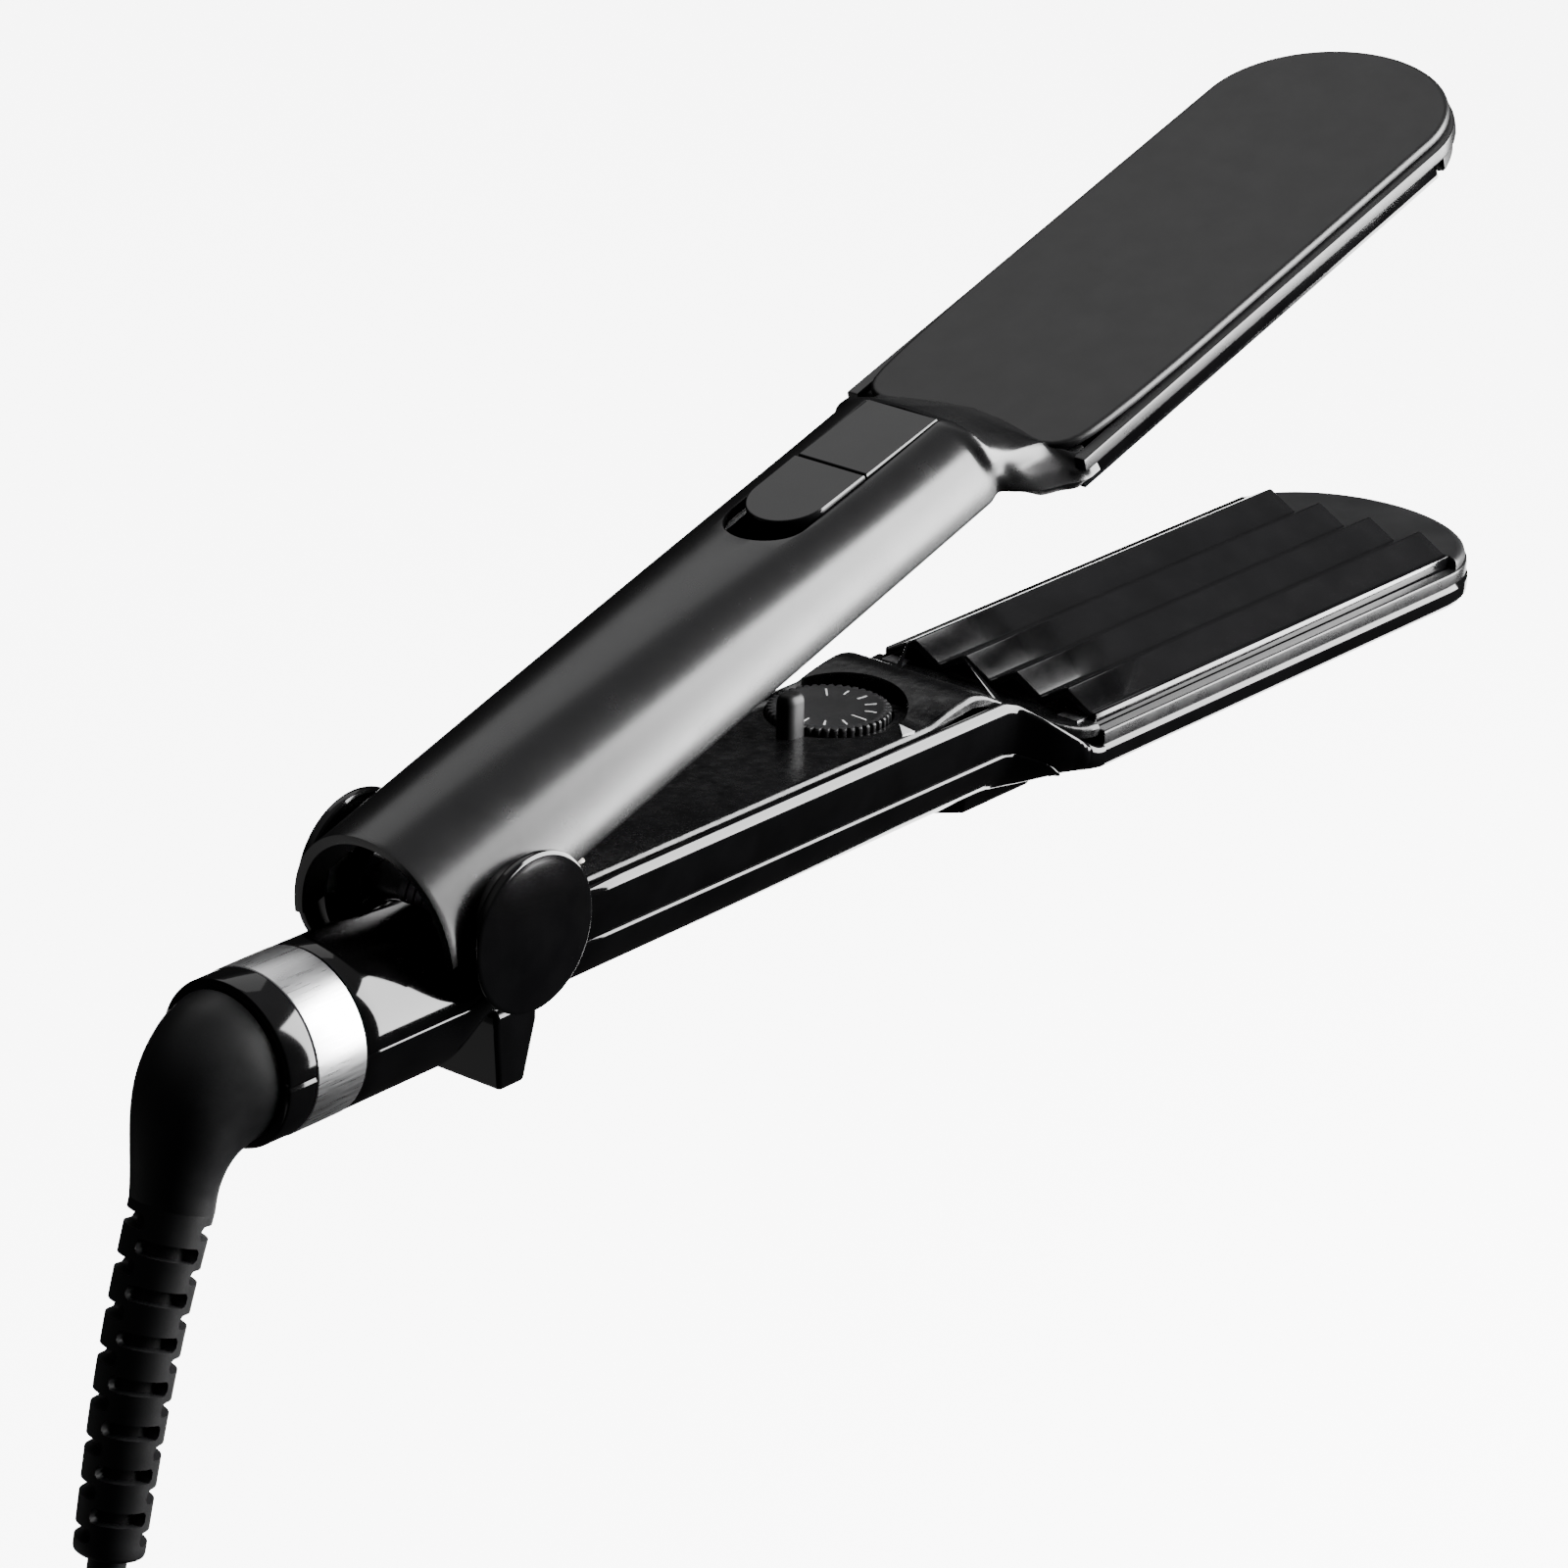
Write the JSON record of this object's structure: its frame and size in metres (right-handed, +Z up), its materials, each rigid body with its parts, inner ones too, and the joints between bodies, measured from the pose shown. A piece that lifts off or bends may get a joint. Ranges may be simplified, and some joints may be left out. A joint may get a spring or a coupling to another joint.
{
  "type": "hair crimper",
  "caption": "Hair crimper with two hinged arms, ridged heated plates in wide heads, a temperature dial, a sliding switch and a swivelling cord that hangs as a tied hank.",
  "frame": {"origin": "middle of the lower handle where the hand holds it, on the middle plane, level with the hinge axis and 70 mm in front of it", "axes": "+X along the lower arm towards the tip of the head, +Y to the left across the plates, +Z up from the lower arm towards the upper arm"},
  "size_m": [0.4047, 0.063, 0.4781],
  "materials": {
    "lower_casing": "high gloss black",
    "upper_casing": "satin dark grey",
    "trim": "fine matte black",
    "cap_gloss": "high gloss black",
    "plate_coating": "aluminium with a gloss black ceramic coating",
    "steel": "zinc plated",
    "chrome": "polished",
    "rubber": "matte black",
    "marking": "white",
    "lamp_lens": "clear red lens",
    "ceramic": "off-white ceramic",
    "board": "green circuit board",
    "strap": "black woven strap",
    "pins": "nickel plated"
  },
  "bodies": {
    "lower_arm": {"lower_main_shell": "lower_casing", "lower_bottom_cover": "lower_casing", "rear_stand_foot": "lower_casing", "front_rest_foot": "lower_casing", "lower_inner_cover": "trim", "lower_plate_carrier": "trim", "guide_post": "trim", "board_pillars": "trim", "swivel_socket": "trim", "hinge_cap_right": "cap_gloss", "hinge_cap_left": "cap_gloss", "end_collar": "cap_gloss", "lower_crimp_plate": "plate_coating", "hinge_pin": "steel", "hinge_spring": "steel", "cover_screws": "steel", "lower_plate_clips": "steel", "temperature_control": "steel", "lower_thermal_fuse": "steel", "chrome_band": "chrome", "lower_wiring": "rubber", "dial_pointer": "marking", "pilot_lamp": "lamp_lens", "lower_heater": "ceramic", "lower_insulator": "ceramic", "control_board": "board"},
    "upper_arm": {"upper_shell": "upper_casing", "upper_inner_cover": "trim", "upper_screw_bosses": "upper_casing", "upper_screws": "steel", "upper_plate_carrier": "trim", "upper_crimp_plate": "plate_coating", "upper_heater": "ceramic", "upper_insulator": "ceramic", "upper_thermal_fuse": "steel", "upper_wiring": "rubber", "switch_window": "upper_casing", "switch_body": "trim", "hinge_bushes": "trim"},
    "power_slider": {"power_slider": "upper_casing"},
    "temperature_dial": {"temperature_dial": "trim", "dial_spindle": "trim"},
    "swivel": {"swivel_hub": "trim", "swivel_elbow": "rubber", "strain_relief": "rubber", "cord_lead": "rubber", "cord_hank": "rubber", "cord_tail": "rubber", "hank_tie": "strap", "plug_body": "rubber", "plug_pins": "pins"}
  },
  "joints": [
    {"name": "arm_hinge", "type": "hinge", "parent": "lower_arm", "child": "upper_arm", "pos_m": [-0.07, 0, 0], "axis": [0, 1, 0], "range_deg": [0, 17.5], "stiffness_Nm_per_rad": 0.5, "springref_deg": -34.38},
    {"name": "dial_turn", "type": "hinge", "parent": "lower_arm", "child": "temperature_dial", "pos_m": [0.042, 0.0031, 0], "axis": [0, 0, 1], "range_deg": [-135, 135]},
    {"name": "switch_slide", "type": "slide", "parent": "upper_arm", "child": "power_slider", "axis": [-0.9537, 0, -0.3007], "range_m": [0, 0.006]},
    {"name": "cord_swivel", "type": "hinge", "parent": "lower_arm", "child": "swivel", "pos_m": [-0.118, 0, -0.0134], "axis": [1, 0, 0], "continuous": true}
  ]
}
